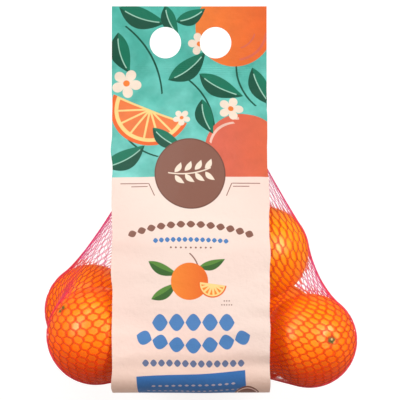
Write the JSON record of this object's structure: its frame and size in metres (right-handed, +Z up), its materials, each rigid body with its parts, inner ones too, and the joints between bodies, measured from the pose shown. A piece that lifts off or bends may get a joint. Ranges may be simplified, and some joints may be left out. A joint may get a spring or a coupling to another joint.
{
  "type": "net of oranges",
  "caption": "Knitted net bag filled with navel oranges, with a wide printed film band and a flat carry header with finger holes, lying label side up.",
  "frame": {"origin": "middle of the bounding box's bottom face, on the surface that the pack lies on", "axes": "+Z up through the label side, +Y from the fruit towards the carry header, +X to the right of the label"},
  "size_m": [0.2492, 0.3058, 0.1535],
  "materials": {
    "fruit_in_net": "bright orange peel under a pink-red knitted plastic net",
    "printed_film": "satin film printed cream and teal"
  },
  "bodies": {
    "root": {"filled_net": "fruit_in_net", "label_band": "printed_film"}
  },
  "joints": []
}
